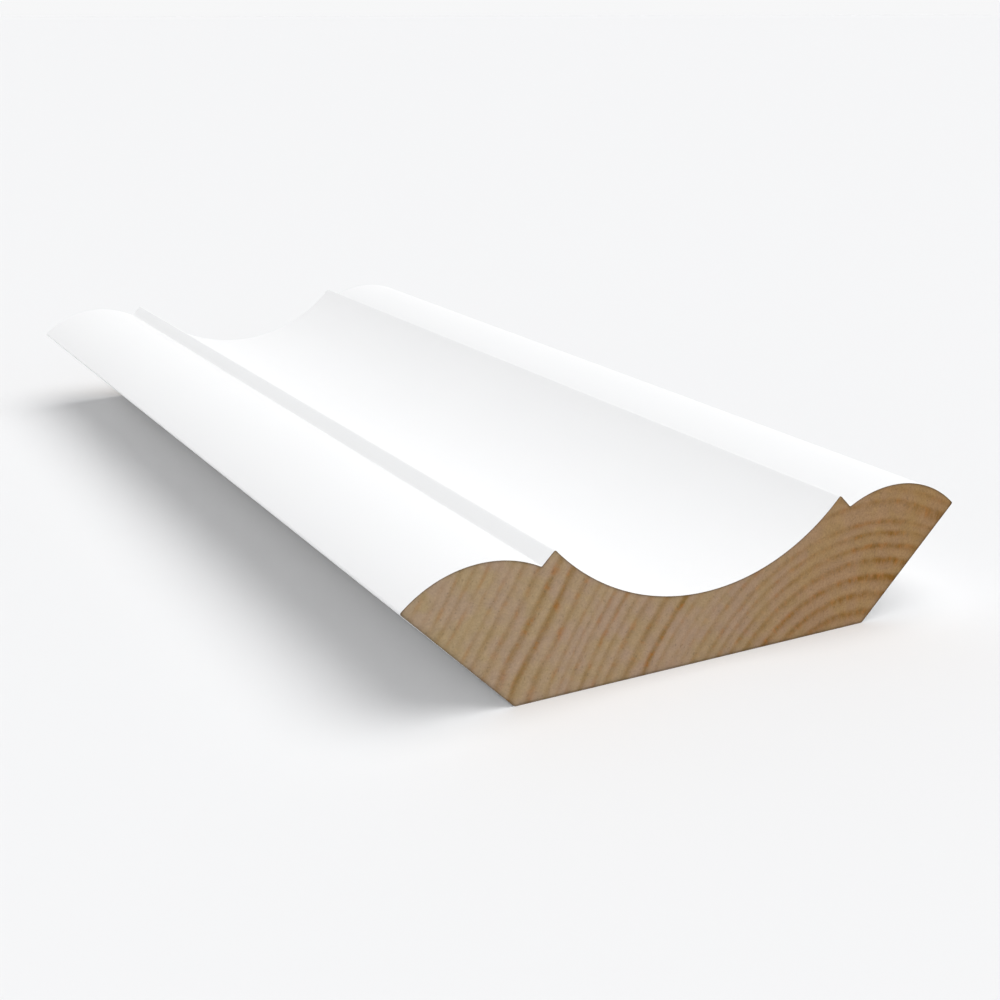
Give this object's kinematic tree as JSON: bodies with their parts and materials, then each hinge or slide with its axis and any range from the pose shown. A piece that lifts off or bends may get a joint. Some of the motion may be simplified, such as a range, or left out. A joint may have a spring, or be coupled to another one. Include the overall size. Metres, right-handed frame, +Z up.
{
  "type": "crown moulding length",
  "caption": "Short length of white-painted pine crown moulding: a wide cove between ovolos, with bevelled back edges that bear on the wall and the ceiling.",
  "frame": {"origin": "middle of the flat back, where the length lies on a surface", "axes": "+Z up out of the flat back towards the moulded face, Y along the length, X across the section"},
  "size_m": [0.0918, 0.191, 0.021],
  "materials": {
    "painted_pine": "satin white paint on the long faces, bare sawn end grain on the two cut ends"
  },
  "bodies": {
    "root": {"crown_moulding": "painted_pine"}
  },
  "joints": []
}
